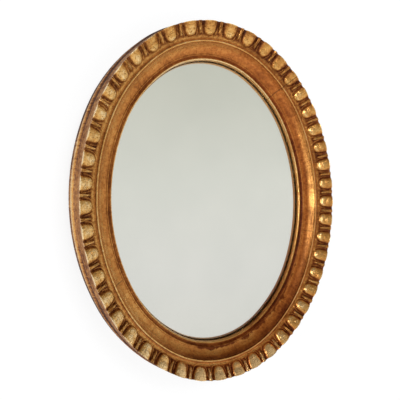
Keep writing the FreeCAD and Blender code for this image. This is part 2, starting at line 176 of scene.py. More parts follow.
# %% [markdown]
# ## The moulding's cross-section
# Going outwards from the glass, the section has a rounded lip, a dark quirk, a thin reed, a deep cove, a
# bead, a flat fillet, the steep band that carries the carving, and then a hollow and a round down the outer
# side. We write it as a chain of arcs. Each has its end point, how far it bows, how many steps it gets, and
# the tone of the gilding at its start, middle and end: 0 is dark brown, 1 is bright gold. Mostly that is
# the brown glaze, left in the hollows and rubbed off the high places. Some tones are painted light and
# shade. The bright middles of the lip and of the outer round are partly painted highlights. The outer side
# is darkened in its hollow and at its back edge partly with painted shade. The ledge and wall under the lip
# get light tones, which is painted light that makes the shade there show brown. The last numbers say
# whether it is gilded at all, how much of the red clay glows through the leaf, and how worn it is at its
# start and its end.

# %% Draw the cross-section
# Out is the distance from the sight edge, fore the distance from the back of the frame, in millimetres.
BAND_IN = (20.5, 28.7)
BAND_OUT = (34.6, 39.2)
BAND_STEPS, END_WALL_STEPS = 36, 5
BAND_CLAY = 0.24
START = (7.0, 0.0)
BEFORE_BAND = (
    ((7.0, 9.2), 0.0, 3, (0.0, 0.0, 0.0), 0.0, 0.0, (0.0, 0.0)),
    ((3.0, 9.2), 0.0, 2, (0.0, 0.0, 0.0), 0.0, 0.0, (0.0, 0.0)),
    # Painted light: the gilded ledge under the lip and the lip's wall get light tones, so that the shade
    # there shows brown.
    ((0.0, 9.2), 0.0, 2, (1.0, 1.0, 1.0), 1.0, 0.3, (0.0, 0.0)),
    ((0.0, 12.9), 0.0, 4, (0.55, 0.68, 0.68), 1.0, 0.5, (0.0, 0.1)),
    # The bright crest of the lip is partly rubbing and partly a painted highlight.
    ((1.6, 14.0), 0.5, 8, (0.68, 0.98, 0.36), 1.0, 0.25, (0.2, 0.4)),
    ((3.4, 13.7), -0.1, 4, (0.38, 0.34, 0.28), 1.0, 1.0, (0.4, 0.5)),
    ((4.5, 16.3), 0.0, 4, (0.28, 0.32, 0.42), 1.0, 1.0, (0.5, 0.7)),
    ((6.2, 16.5), 0.5, 5, (0.38, 0.54, 0.20), 1.0, 0.7, (0.8, 1.0)),
    ((15.5, 28.7), -2.2, 15, (0.42, 0.54, 0.58), 1.0, 0.85, (1.0, -0.6)),
    ((17.9, 28.7), 1.2, 8, (0.34, 0.88, 0.40), 1.0, 0.6, (0.3, 0.3)),
    (BAND_IN, 0.0, 4, (0.34, 0.49, 0.45), 1.0, 0.9, (0.4, 0.8)),
)
AFTER_BAND = (
    # The outer side: the bright middle of the round is partly a painted highlight, and the hollow and the
    # back edge are darkened partly with painted shade.
    ((38.4, 26.0), -0.8, 10, (0.40, 0.33, 0.29), 1.0, 0.2, (0.1, 0.0)),
    ((40.2, 20.6), -0.1, 5, (0.38, 0.46, 0.54), 1.0, 0.4, (0.1, 0.2)),
    ((43.0, 13.0), 0.9, 8, (0.62, 1.00, 0.60), 1.0, 0.3, (0.2, 0.3)),
    ((45.0, 5.0), 0.2, 6, (0.46, 0.38, 0.34), 1.0, 0.0, (0.4, 0.5)),
    ((44.0, 0.0), 0.0, 4, (0.32, 0.26, 0.20), 1.0, 0.0, (0.5, 0.5)),
    (START, 0.0, 4, (0.10, 0.0, 0.0), 0.0, 0.0, (0.0, 0.0)),
)


def bow(start, end, swell, steps):
    """Points of an arc that stands out by swell to the left of its travel, without its last point."""
    start, end = np.array(start), np.array(end)
    travel = end - start
    side = np.array((-travel[1], travel[0])) / np.hypot(*travel)
    share = np.linspace(-1, 1, steps + 1)[:-1, None]
    if swell == 0:
        return (start + end) / 2 + share * travel / 2
    half = 2 * math.atan2(2 * swell, np.hypot(*travel))
    along = np.sin(half * share) / math.sin(half)
    rise = swell * (np.cos(half * share) - math.cos(half)) / (1 - math.cos(half))
    return (start + end) / 2 + along * travel / 2 + rise * side


def section_stations():
    """Rows of the section: out, fore, tone, gilt, clay, wear, place on the band or -1, share of carving."""
    rows = []

    def chain(last, members):
        for end, swell, steps, tones, gilt, clay, wear in members:
            for share, point in zip(np.linspace(0, 1, steps + 1), bow(last, end, swell, steps)):
                tone = np.interp(share, (0, 0.5, 1), tones)
                rows.append((*point, tone, gilt, clay, np.interp(share, (0, 1), wear), -1.0, 0.0))
            last = end

    chain(START, BEFORE_BAND)
    for share, point in zip(np.linspace(0, 1, BAND_STEPS + 1), bow(BAND_IN, BAND_OUT, 0, BAND_STEPS)):
        rows.append((*point, 0.5, 1.0, BAND_CLAY, 0.0, share, 1.0))
    for share in np.linspace(1, 0, END_WALL_STEPS)[:-1]:
        rows.append((*BAND_OUT, 0.5, 1.0, BAND_CLAY, 0.0, 1.0, share))
    chain(BAND_OUT, AFTER_BAND)
    return np.array(rows)


STATIONS = section_stations()
print("stations round the section:", len(STATIONS))

# %% [markdown]
# ## Turning the moulding
# A real frame like this is sawn from four boards, joined at the shoulders and shaped on the bench. We set
# the section up at a joint and spin it about one arc's centre after another until the next joint. Thousands
# of fine spin steps would be slow, so we spin in coarse steps and then subdivide the edges that run
# lengthwise; the chords leave the true arc by only a few hundredths of a millimetre. Every station keeps
# its own row of values in vertex layers, which both operators carry over, so that later each point still
# knows where on the moulding it lies.

# %% Spin one length of moulding
# Coarse steps in millimetres, and the cuts that divide each. A hair is an angle too small to matter.
STEP_LENGTH, CUTS = 5.76, 7
HAIR = 0.001
MIDDLE_OUT = (BAND_IN[0] + BAND_OUT[0]) / 2
LAYERS = ("tone", "gilt", "clay", "wear", "along", "share")


def arc_at(angle):
    """The arc that an angle falls in."""
    return next(arc for arc in ARCS if (angle - arc[3]) % 360 <= arc[4] - arc[3])


def spun_moulding(first, last):
    """A closed length of plain moulding between two joints, as a bmesh in millimetres."""
    bm = bmesh.new()
    layers = [bm.verts.layers.float.new(name) for name in LAYERS]
    station = bm.verts.layers.int.new("station")
    centre_x, centre_z, radius = arc_at(first)[:3]
    turned = Matrix.Translation((centre_x, 0, centre_z)) @ Matrix.Rotation(math.radians(first), 4, "Y")
    corners = []
    for number, (out, fore, *values) in enumerate(STATIONS):
        corner = bm.verts.new(turned @ Vector((0, -PAD_THICKNESS - fore, radius + out)))
        corner[station] = number
        for layer, value in zip(layers, values):
            corner[layer] = value
        corners.append(corner)
    ring = [bm.edges.new((a, b)) for a, b in zip(corners, corners[1:] + corners[:1])]
    bmesh.ops.contextual_create(bm, geom=ring)
    geometry = corners + ring
    angle = first
    while angle < last - HAIR:
        centre_x, centre_z, radius, arc_start, arc_end = arc_at(angle + HAIR)
        stretch = min(last - angle, (arc_end - angle) % 360)
        steps = round(math.radians(stretch) * (radius + MIDDLE_OUT) / STEP_LENGTH)
        spun = bmesh.ops.spin(bm, geom=geometry, cent=(centre_x, 0, centre_z), axis=(0, 1, 0),
                              angle=math.radians(stretch), steps=steps, use_duplicate=False)
        geometry = spun["geom_last"]
        angle += stretch
    far_end = [part for part in geometry if isinstance(part, bmesh.types.BMEdge)]
    bmesh.ops.contextual_create(bm, geom=far_end)
    lengthwise = [edge for edge in bm.edges if edge.verts[0][station] == edge.verts[1][station]]
    bmesh.ops.subdivide_edges(bm, edges=lengthwise, cuts=CUTS, use_grid_fill=True)
    bm.verts.layers.int.remove(station)
    bmesh.ops.recalc_face_normals(bm, faces=bm.faces)
    return bm


print("values kept on each point:", ", ".join(LAYERS))

# %% [markdown]
# ## Carving eggs and darts
# The carver marks the band into spaces, cuts a domed egg in each, leaves a thin shell round it, and sets a
# sharp dart between every two. Each egg could be a mesh of its own, but on the real frame they are one
# piece of wood, with no seams where they rise from the ground. So we push the points of the band up by a
# height that depends on the place along it and across it. A seeded generator makes every egg a little
# different, because each was cut by hand.

# %% Sizes of the carving
EGG_COUNT, EGG_PHASE = 46, 0.726
BAND_LENGTH = sum((arc[2] + MIDDLE_OUT) * math.radians(arc[4] - arc[3]) for arc in ARCS)
PITCH = BAND_LENGTH / EGG_COUNT
BAND_WIDTH = math.dist(BAND_IN, BAND_OUT)
EGG_HALF_WIDTH, EGG_HEIGHT, EGG_NOSE, EGG_ROUND_SHARE = 8.4, 5.0, 1.5, 0.90
# How square an egg's outline is, how flat its top, and how steeply it falls to the outline.
EGG_SQUARE, DOME_FLAT, DOME_FALL = 2.5, 2.3, 0.55
# The dip across an egg, as shares of the band's width, and how far the egg sinks behind the rim.
SADDLE_PLACE, SADDLE_SPREAD, RIM_SINK = 0.60, 0.15, 0.14
RIM_WIDTH, RIM_HEIGHT = 1.1, 4.1
SHELL_GAP, SHELL_HALF_WIDTH, SHELL_HEIGHT = 1.5, 0.7, 1.0
DART_HALF_WIDTH, DART_HEIGHT, DART_START, DART_RUN = 2.1, 3.9, 2.2, 4.5
DART_POINT_SHARE, DART_ROUND = 0.45, 0.7
SLIT_SHARE, SLIT_DEPTH = 0.3, 0.28
FLOOR_AT_RIM, FLOOR_DIP = 1.9, 0.7

chisel = np.random.default_rng(7)
# Middle and spread of what varies from egg to egg.
EGG_SPREADS = {
    "shift": (0, 0.30), "width": (1, 0.035), "height": (1, 0.05), "nose": (0, 0.45), "slant": (0, 0.035),
    "saddle": (0.22, 0.10), "dart_shift": (0, 0.30), "dart_slant": (0, 0.05), "dart_height": (1, 0.08)}
EGG_UNEVEN = {name: chisel.normal(*spread, EGG_COUNT) for name, spread in EGG_SPREADS.items()}
EGG_UNEVEN["saddle"] = np.clip(EGG_UNEVEN["saddle"], 0.05, 0.4)
print("pitch of the carving in mm:", round(PITCH, 2))

# %% Heights of the carving
# Here place is counted in eggs along the band, and across is in mm from the band's inner edge.
def ease(low, high, value):
    """Smooth step from 0 at low to 1 at high."""
    share = np.clip((value - low) / (high - low), 0, 1)
    return share * share * (3 - 2 * share)


def egg_at(place, across):
    """Height, tone and dome of the eggs, and the distance in mm outside an egg's outline."""
    number = np.round(place).astype(int) % EGG_COUNT
    slant = EGG_UNEVEN["slant"][number] * (across - BAND_WIDTH / 2)
    side = (place - np.round(place)) * PITCH - EGG_UNEVEN["shift"][number] - slant
    nose = EGG_NOSE + EGG_UNEVEN["nose"][number]
    round_end = EGG_ROUND_SHARE * BAND_WIDTH
    reach = np.clip((round_end - across) / (round_end - nose), 0, None)
    half_width = EGG_HALF_WIDTH * EGG_UNEVEN["width"][number]
    edge = ((np.abs(side) / half_width) ** EGG_SQUARE + reach ** EGG_SQUARE) ** (1 / EGG_SQUARE)
    dome = np.clip(1 - np.clip(edge, 0, 1) ** DOME_FLAT, 0, None) ** DOME_FALL
    near_rim = ease(BAND_WIDTH - RIM_WIDTH, BAND_WIDTH - 0.3 * RIM_WIDTH, across)
    behind_rim = ease(0.60 * BAND_WIDTH, BAND_WIDTH - RIM_WIDTH, across)
    dip = np.exp(-((across / BAND_WIDTH - SADDLE_PLACE) / SADDLE_SPREAD) ** 2)
    saddle = EGG_UNEVEN["saddle"][number] * dip
    crown = EGG_HEIGHT * EGG_UNEVEN["height"][number] * (1 - RIM_SINK * behind_rim - saddle)
    height = dome * (crown + (RIM_HEIGHT - crown) * near_rim)
    # Painted shade in the dip across each egg and just inside its rim.
    painted_dip_shade = 0.08 * behind_rim * (1 - near_rim) + 0.5 * saddle
    tone = (0.18 + 0.12 * ease(0.1, 0.5, dome) + 0.44 * ease(0.40, 0.74, dome)
            + 0.16 * ease(0.8, 1.0, dome) - painted_dip_shade + 0.26 * near_rim)
    return height, np.where(edge < 1, tone, 0), dome, (edge - 1) * EGG_HALF_WIDTH


def dart_at(place, across, floor):
    """Height and tone of the darts, which rise from the floor of the band."""
    number = np.floor(place).astype(int) % EGG_COUNT
    slant = EGG_UNEVEN["dart_slant"][number] * (across - BAND_WIDTH / 2)
    side = (place - np.floor(place) - 0.5) * PITCH - EGG_UNEVEN["dart_shift"][number] - slant
    half_width = DART_HALF_WIDTH * (DART_POINT_SHARE + (1 - DART_POINT_SHARE) * across / BAND_WIDTH)
    blade = np.clip(1 - (np.abs(side) / half_width) ** 2, 0, None) ** DART_ROUND
    rising = ease(DART_START, DART_START + DART_RUN, across)
    slit = np.exp(-((side / (SLIT_SHARE * half_width)) ** 2))
    top = DART_HEIGHT * EGG_UNEVEN["dart_height"][number] * (1 - SLIT_DEPTH * slit)
    tone = (0.14 + 0.72 * ease(0.2, 0.7, blade) - 0.46 * slit) * rising * (blade > 0)
    return floor + (top - floor) * blade * rising, tone


def carving(place, across):
    """Height and tone of the whole carving, and its dome: 1 on the top of an egg, 0 beside it."""
    egg, egg_tone, dome, outside = egg_at(place, across)
    share = across / BAND_WIDTH
    floor = FLOOR_AT_RIM * ease(0.70, 1.0, share) - FLOOR_DIP * np.sin(np.pi * share)
    nose_part = ease(BAND_WIDTH, 0.6 * BAND_WIDTH, across)
    shell = np.clip(1 - ((outside - SHELL_GAP) / SHELL_HALF_WIDTH) ** 2, 0, None) * nose_part
    dart, dart_tone = dart_at(place, across, floor)
    height = np.maximum.reduce([egg, floor + SHELL_HEIGHT * shell * ease(0, 2.0, across), dart])
    tone = np.maximum.reduce([0.20 + 0.24 * ease(4.6, 1.2, across), egg_tone, 0.46 * shell, dart_tone])
    return height, tone, dome


sample = carving(np.array((0.0, 0.5)), np.full(2, BAND_WIDTH / 2))[0]
print("first egg and dart in mm above the band:", sample.round(1))

# %% [markdown]
# ## How the gilding aged, and its painted light and shade
# After years on a wall the gilding is no longer the same all round, and the red clay glows through more in
# some places than in others. Most of the trends below are painted light and shade. There is painted shade
# on what faces up. A paler painted highlight lies where the key light gleams in the right-hand cove, and
# painted highlights sit on the noses of the eggs on the right. The eggs at the lower left and the bottom get
# painted light, and stretches of the lip, the reed and the outer side get painted light and shade. We could
# paint this on by hand, but nobody could read a painting later and change it. So we write it as soft trends
# round the oval. Each is a bell about some angle, or a swing that is strongest at one angle and weakest
# opposite, on one member of the moulding. The trends add to the tone and the clay that the section gave.

# %% Age the carving and paint its light and shade
def gap(angles, middle):
    """Degrees from a middle angle, between -180 and 180."""
    return (angles - middle + 180) % 360 - 180


def near(angles, middle, spread):
    """A bell round the oval: 1 at the middle angle, falling off over this many degrees."""
    return np.exp(-(gap(angles, middle) / spread) ** 2)


def swing(angles, middle):
    """A slow swing round the oval: 1 at the middle angle, -1 opposite."""
    return np.cos(np.radians(angles - middle))


def aged_carving(angles, along, across, dome, tone):
    """Tone and clay of the carved band, from the tone of fresh carving, with painted light and shade round
    the oval.
    """
    # Painted highlight on the noses of the eggs on the right, which also makes them glossier, and painted
    # shade on their outer halves.
    painted_nose_light = 0.30 * ease(0.62, 0.30, along) * ease(0.95, 0.60, dome) - 0.07 * ease(0.35, 0.62, along)
    tone = tone + painted_nose_light * near(angles, 95, 42) * ease(0.15, 0.45, dome)
    # Red clay shows in the cuts, and most at the bottom.
    clay = BAND_CLAY + 0.35 * ease(0.46, 0.22, tone) + 0.7 * near(angles, 185, 45)
    # Painted light lifts the high places at the lower left and at the bottom. The outer ends get painted
    # light at the bottom, where they face down, and painted shade elsewhere, most at the top.
    lower_left_painted_light = 0.17 * (0.5 + 0.5 * swing(angles, 240)) + 0.10 * near(angles, 180, 30)
    ends = ease(0.5, 0.9, along) * (0.42 * near(angles, 185, 36) - 0.13 - 0.17 * near(angles, 350, 55))
    tone = tone + ease(0.16, 0.45, tone) * (lower_left_painted_light + ends)
    # The cuts are lighter towards the left, the ground darker at the lower left, and the whole band a little
    # darker at the upper right.
    tone = tone + 0.08 * ease(0.40, 0.15, tone) * (0.5 + 0.5 * swing(angles, 280))
    lower_left_darkening = 0.11 * ease(0.8, 2.2, across) * near(angles, 235, 62)
    tone = tone - np.where(dome < 0.05, lower_left_darkening, 0) - 0.06 * near(angles, 25, 32)
    return tone, clay


print("a bell of 45 degrees, 45 degrees from its middle:", round(float(near(45, 0, 45)), 2))

# %% Age the plain members and paint their light and shade
# Where the plain members lie, in millimetres out from the sight edge.
MEMBERS = {
    "lip_wall": (-1.0, 0.2), "lip": (0.2, 1.8), "lip_shoulder": (1.0, 1.9), "quirk": (1.9, 4.6),
    "reed": (4.6, 6.0), "cove": (6.0, 15.6), "fillet": (18.0, 20.6), "inner_members": (-1.0, 16.0),
}
FLANK_OUT = 38.6
# Bells: the member, what they change and by how much, the angle of the middle and the spread. They are
# partly the frame's own tone and partly painted light and shade. There is painted shade on the lip wall, the
# lip, the quirk, the reed and the fillet on the lower right. There are painted highlights on the lip's
# shoulder there and on the reed at the right. The lip is darker and redder at the left, and the inner members
# get painted light at the lower left.
BELLS = (
    ("lip_wall", "tone", -0.12, 135, 45), ("lip_wall", "clay", 0.3, 135, 45),
    ("lip", "tone", -0.22, 135, 45), ("lip", "tone", -0.22, 270, 45), ("lip", "clay", 0.5, 270, 45),
    ("lip_shoulder", "tone", 0.34, 135, 45), ("quirk", "tone", -0.20, 112, 46),
    ("reed", "tone", 0.12, 80, 28), ("reed", "tone", -0.18, 135, 30),
    ("fillet", "tone", -0.07, 150, 20), ("inner_members", "tone", 0.06, 238, 22),
)


def waver(place, seed, size):
    """Seeded unevenness along a line, within about 1 either way, in waves of about this size."""
    phases = np.random.default_rng(seed).uniform(0, 2 * np.pi, 4)
    shares = (1.0, 0.618, 0.387, 0.241)
    waves = sum(np.sin(2 * np.pi * place / (size * share) + phase) for share, phase in zip(shares, phases))
    return waves / len(shares)


def aged_members(angles, lengths, outs, plain, tone, clay):
    """Tone and clay of all points, changed on the plain members and the outer side, mostly by painted light
    and shade.
    """
    values = {"tone": tone.copy(), "clay": clay.copy()}
    on = {member: plain & (outs > start) & (outs < end) for member, (start, end) in MEMBERS.items()}
    for member, value, amount, middle, spread in BELLS:
        values[value] += np.where(on[member], amount * near(angles, middle, spread), 0)
    tone, clay = values["tone"], values["clay"]

    # Painted shade on the lip wall where it faces up. The lip gets painted light at the upper left and
    # painted shade at the lower right. The reed gets painted shade at the top and painted light at the
    # bottom.
    facing_up = ease(95, 150, angles) * ease(250, 200, angles)
    tone -= np.where(on["lip_wall"], 0.05 * facing_up, 0)
    tone += np.where(on["lip"], 0.18 * swing(angles, 345), 0)
    tone -= np.where(on["reed"], 0.07 * swing(angles, 0), 0)

    # The cove. Painted highlight: where the key light gleams on the right, the clay is taken out and the tone
    # lowered a little, so the leaf shows paler there. Painted shade darkens the outer part where it faces up,
    # the cove on the right away from the highlight, and a stretch just below it. The inner part is painted
    # darker at the top and lighter at the bottom. The whole cove is painted lighter, most at the upper left.
    key_highlight = ease(9.5, 13.5, outs) * near(angles, 88, 23)
    up_facing_shade = 0.26 * ease(11.8, 14.8, outs) * facing_up
    shade = 0.18 * (0.5 + 0.5 * swing(angles, 75)) ** 2 * ease(7.5, 10.5, outs) * (1 - key_highlight)
    # Painted shade just below the key light's highlight, not a stain.
    stain = 0.10 * ease(8.0, 11.0, outs) * near(angles, 122, 14)
    foot = 0.08 * ease(11.0, 8.0, outs) * swing(angles, 0)
    glow = 0.05 + 0.05 * np.clip(swing(angles, 345), 0, 1) ** 4
    tone -= np.where(on["cove"], up_facing_shade + shade + stain + foot + 0.05 * key_highlight - glow, 0)
    clay -= np.where(on["cove"], 0.75 * key_highlight, 0)

    # The outer side is flecked. Painted shade darkens it all round, least along a stretch on the left, which
    # stands out as a painted highlight.
    flecks = 0.5 * waver(lengths, 21, 2.9) * waver(lengths, 22, 7.7)
    dark = (0.12 + 0.30 * (1 - near(angles, 273, 18)) + 0.14 * ease(262, 246, angles)
            + 0.2 * near(angles, 320, 22))
    tone += np.where(outs > FLANK_OUT, flecks - dark, 0)
    return tone, clay


print("members that age:", ", ".join(MEMBERS))

# %% [markdown]
# ## From plain moulding to carved moulding
# Now the height function moves the points. On the band they move square to its slope, and near the outer
# edge along the side of the frame, so that the eggs end flush with it as if sawn off. The carver stepped
# off the spaces by eye, so they drift a little round the oval. Every other member gets a slow waver of
# about a tenth of a millimetre, because gesso is brushed and rubbed down by hand. The tone, the clay and
# the wear are kept as point attributes for the gilding, with one more for joints and hairline cracks.

# %% Places on the frame
JOINTS = {"upper_right": (JOINT_ANGLE, 1.0), "lower_right": (180 - JOINT_ANGLE, 0.45),
          "lower_left": (180 + JOINT_ANGLE, 0.45), "upper_left": (360 - JOINT_ANGLE, 0.45)}
# Old cracks in the gesso of the cove: angle, start and end in mm from the sight edge, how dark.
HAIRLINES = (
    (6.5, 12.0, 15.6, 0.7), (20.0, 13.0, 15.6, 0.5), (86.0, 7.0, 15.0, 0.3), (101.0, 6.5, 15.6, 0.4),
    (172.0, 7.5, 13.5, 0.5), (251.0, 6.5, 15.6, 0.5), (262.0, 10.0, 15.6, 0.35), (338.0, 8.0, 14.0, 0.35))
# Half the width of a joint line and of a hairline, in degrees.
JOINT_LINE, HAIRLINE = 0.01, 0.14


def oval_places(x, z):
    """Angle round the oval, length along the middle of the band and distance out from the sight edge."""
    angles, lengths, outs = np.zeros_like(x), np.zeros_like(x), np.zeros_like(x)
    gone = -(ARCS[0][2] + MIDDLE_OUT) * math.radians(END_ANGLE)
    for centre_x, centre_z, radius, start, end in ARCS:
        turned = np.degrees(np.arctan2(x - centre_x, z - centre_z))
        turned = start + (turned - start + 1e-4) % 360
        inside = turned <= end + 2e-4
        angles[inside] = turned[inside]
        lengths[inside] = gone + np.radians(turned[inside] - start) * (radius + MIDDLE_OUT)
        outs[inside] = np.hypot(x - centre_x, z - centre_z)[inside] - radius
        gone += (radius + MIDDLE_OUT) * math.radians(end - start)
    return angles, lengths, outs


def drift(angles):
    """How far the carver's marks wander from equal spaces, counted in eggs."""
    turn = np.radians(angles)
    return (-0.053 * np.cos(2 * turn) + 0.017 * np.sin(2 * turn)
            + 0.026 * np.cos(3 * turn) + 0.023 * np.sin(3 * turn))


def cracks(angles, outs):
    """Darkness of the joint lines and hairlines."""
    dark = np.zeros_like(angles)
    for line, strength in JOINTS.values():
        dark = np.maximum(dark, strength * (np.abs(gap(angles, line)) < JOINT_LINE))
    for line, start, end, strength in HAIRLINES:
        on_line = (np.abs(gap(angles, line)) < HAIRLINE) & (outs > start) & (outs < end)
        dark = np.maximum(dark, strength * on_line)
    return dark


print("joints:", len(JOINTS), "hairlines:", len(HAIRLINES))

# %% Carve and finish the four lengths
BAND_RISE = np.array((-(BAND_OUT[1] - BAND_IN[1]), BAND_OUT[0] - BAND_IN[0])) / BAND_WIDTH
SIDE_RISE = np.array((-0.227, 0.974))
LUMP_HEIGHT, GESSO_OUT, GESSO_FORE = 1.6, 0.10, 0.12
SHARP_ANGLE = math.radians(50)


def new_piece(name, bm):
    """An object with the mesh that a bmesh holds. The bmesh is freed."""
    mesh = bpy.data.meshes.new(name)
    bm.to_mesh(mesh)
    bm.free()
    piece = bpy.data.objects.new(name, mesh)
    bpy.context.scene.collection.objects.link(piece)
    return piece


def values_of(mesh, name):
    """A float attribute of a mesh as an array."""
    values = np.zeros(len(mesh.vertices), np.float32)
    mesh.attributes[name].data.foreach_get("value", values)
    return values.astype(float)


def carved_length(name, first, last):
    """One carved length of the frame between two joints."""
    piece = new_piece(name, spun_moulding(first, last))
    mesh = piece.data
    points = np.zeros(len(mesh.vertices) * 3)
    mesh.vertices.foreach_get("co", points)
    points = points.reshape(-1, 3)
    tone, gilt, clay, wear, along, share = (values_of(mesh, layer) for layer in LAYERS)
    angles, lengths, outs = oval_places(points[:, 0], points[:, 2])
    if first < 0:
        lengths = np.where(lengths > BAND_LENGTH / 2, lengths - BAND_LENGTH, lengths)

    carved = along >= 0
    across = np.clip(along, 0, 1) * BAND_WIDTH
    height, fresh_tone, dome = carving(lengths / PITCH - EGG_PHASE - drift(angles), across)
    band_tone, band_clay = aged_carving(angles, along, across, dome, fresh_tone)
    tone = np.where(carved, band_tone, tone)
    clay = np.where(carved, band_clay, clay) * (0.86 + 0.26 * swing(angles, 95))
    tone, clay = aged_members(angles, lengths, outs, (gilt > 0.5) & ~carved, tone, clay)
    low_right = ease(95, 125, angles) * ease(215, 190, angles)
    wear *= 0.3 + 0.7 * low_right + 0.12 * near(angles, 138, 9)

    to_side = ease(0.6, 1.0, along)[:, None]
    rise = (1 - to_side) * BAND_RISE + to_side * SIDE_RISE
    lumps = LUMP_HEIGHT * waver(lengths + 1.7 * across, 14, 8.3) * waver(across - 0.6 * lengths, 15, 6.1)
    move = np.where(carved, (height + lumps * ease(0, 3, across)) * share, 0)[:, None] * rise
    loose = np.where(carved | (gilt < 0.5), 0, 1)
    move[:, 0] += loose * GESSO_OUT * waver(lengths + 40 * tone, 11, 23.0)
    move[:, 1] += loose * GESSO_FORE * waver(lengths, 12, 9.0)
    points[:, 0] += move[:, 0] * np.sin(np.radians(angles))
    points[:, 2] += move[:, 0] * np.cos(np.radians(angles))
    points[:, 1] -= move[:, 1]
    mesh.vertices.foreach_set("co", (points / 1000).ravel())

    mesh.attributes.new("joint", "FLOAT", "POINT")
    kept = {"tone": tone, "clay": clay, "wear": wear, "joint": cracks(angles, outs)}
    for layer, values in kept.items():
        mesh.attributes[layer].data.foreach_set("value", values.astype(np.float32))
    for layer in ("along", "share"):
        mesh.attributes.remove(mesh.attributes[layer])
    mesh.shade_smooth()
    mesh.set_sharp_from_angle(angle=SHARP_ANGLE)
    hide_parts(name.replace("carved", "frame_segment"))
    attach(piece, "frame")
    return piece


SPANS = {"top": (-JOINT_ANGLE, JOINT_ANGLE), "right": (JOINT_ANGLE, 180 - JOINT_ANGLE),
         "bottom": (180 - JOINT_ANGLE, 180 + JOINT_ANGLE), "left": (180 + JOINT_ANGLE, 360 - JOINT_ANGLE)}
frame_pieces = {side: carved_length("carved_" + side, *span) for side, span in SPANS.items()}
for side, piece in frame_pieces.items():
    print(side, "faces:", len(piece.data.polygons))

# %% [markdown]
# ## Gilding
# Metal leaf over a red-brown clay and gesso, toned with brown glaze that was wiped off the high places and
# left in the hollows. To the eye that is a warm, half-matt metal: pale khaki gold on the rubbed eggs,
# orange-brown in the smooth cove, and near-black brown in the cuts. The tone that we kept for each point
# picks the colour, the clay mixes a redder leaf into it, and three sizes of noise break it up: patches of
# wear, mottling of the glaze and fine specks. A fourth noise chips the leaf off down to the clay where the
# wear is high, and joints and cracks are drawn dark. The back was never gilded, so the same finish turns to
# bare wood there, with the grain of the board.

# %% Toned leaf and bare board
# Colours of the leaf from the darkest tone to the brightest, over thick gesso and where red clay glows
# through. The tone carries brown glaze and rubbing, and also painted light and shade.
LEAF_TONES = (0.00, 0.16, 0.36, 0.50, 0.66, 0.82, 1.00)
LEAF = ("#3A1704", "#633410", "#97662E", "#B48342", "#C99C56", "#D6B070", "#ECD6A8")
RED_LEAF = ("#3E1402", "#6A2C0A", "#96501E", "#B86A2C", "#CC8A46", "#DAA462", "#E8C088")
BARE_CLAY, CRACK_DIRT = "#6E3208", "#2E1405"


def toned_leaf(tree, place, mottling):
    """Colour of the leaf with its glaze, painted light and shade, chips and cracks, and the tone that shows.
    """
    tone, clay, wear, joint = (add(tree, "Attribute", out="Fac", attribute_name=name)
                               for name in ("tone", "clay", "wear", "joint"))
    patches = add(tree, "TexNoise", {"Vector": place, "Scale": per_mm(26.0), "Detail": 3.0})
    specks = add(tree, "TexNoise", {"Vector": place, "Scale": per_mm(1.6), "Detail": 2.0})
    chips = add(tree, "TexNoise", {"Vector": place, "Scale": per_mm(17.0), "Detail": 5.0,
                                   "Roughness": 0.62})
    worn = add(tree, "Math", {0: patches, 1: 0.4, 2: -0.2}, operation="MULTIPLY_ADD")
    blotches = add(tree, "Math", {0: mottling, 1: 0.5}, operation="SUBTRACT")
    uneasy = add(tree, "MapRange", {"Value": clay, "From Min": 0.2, "From Max": 0.7, "To Min": 0.9,
                                    "To Max": 0.6})
    blotchy = add(tree, "Math", {0: blotches, 1: uneasy}, operation="MULTIPLY")
    uneven = add(tree, "Math", {0: worn, 1: blotchy}, operation="ADD")
    shown = add(tree, "Math", {0: tone, 1: uneven}, operation="ADD", use_clamp=True)
    leaf, red_leaf = (add(tree, "ValToRGB", {"Fac": shown}, stops=list(zip(LEAF_TONES, colours)))
                      for colours in (LEAF, RED_LEAF))
    glazed = add(tree, "Mix", {"Factor": clay, "A": leaf, "B": red_leaf}, out=2, data_type="RGBA")
    speck_dark = add(tree, "ValToRGB", {"Fac": specks}, stops=[
        (0.30, "#8A6A4A"), (0.42, "#FFFFFF")])
    speckled = add(tree, "Mix", {"Factor": 0.6, "A": glazed, "B": speck_dark}, out=2, data_type="RGBA",
                   blend_type="MULTIPLY")
    lost = add(tree, "Math", {0: wear, 1: 0.45, 2: chips}, operation="MULTIPLY_ADD")
    chipped = add(tree, "MapRange", {"Value": lost, "From Min": 0.84, "From Max": 0.91})
    bare = add(tree, "Mix", {"Factor": chipped, "A": speckled, "B": tint(BARE_CLAY)}, out=2, data_type="RGBA")
    seamed = add(tree, "Mix", {"Factor": joint, "A": bare, "B": tint(CRACK_DIRT)}, out=2, data_type="RGBA")
    return seamed, shown


def bare_board(tree, place, grain_turn):
    """Colour and grain of the ungilded back."""
    grain_place = add(tree, "Mapping", {"Vector": place, "Rotation": (0, grain_turn, 0),
                                        "Scale": (0.06, 1.0, 1.0)})
    grain = add(tree, "TexNoise", {"Vector": grain_place, "Scale": per_mm(3.0), "Detail": 4.0,
                                   "Distortion": 0.4})
    board = add(tree, "ValToRGB", {"Fac": grain}, stops=[
        (0.32, "#8C6A46"), (0.50, "#A98760"), (0.70, "#BFA079")])
    return board, grain


print("tones of leaf:", len(LEAF_TONES))

# %% Gilded wood
LEAF_METAL = 0.62


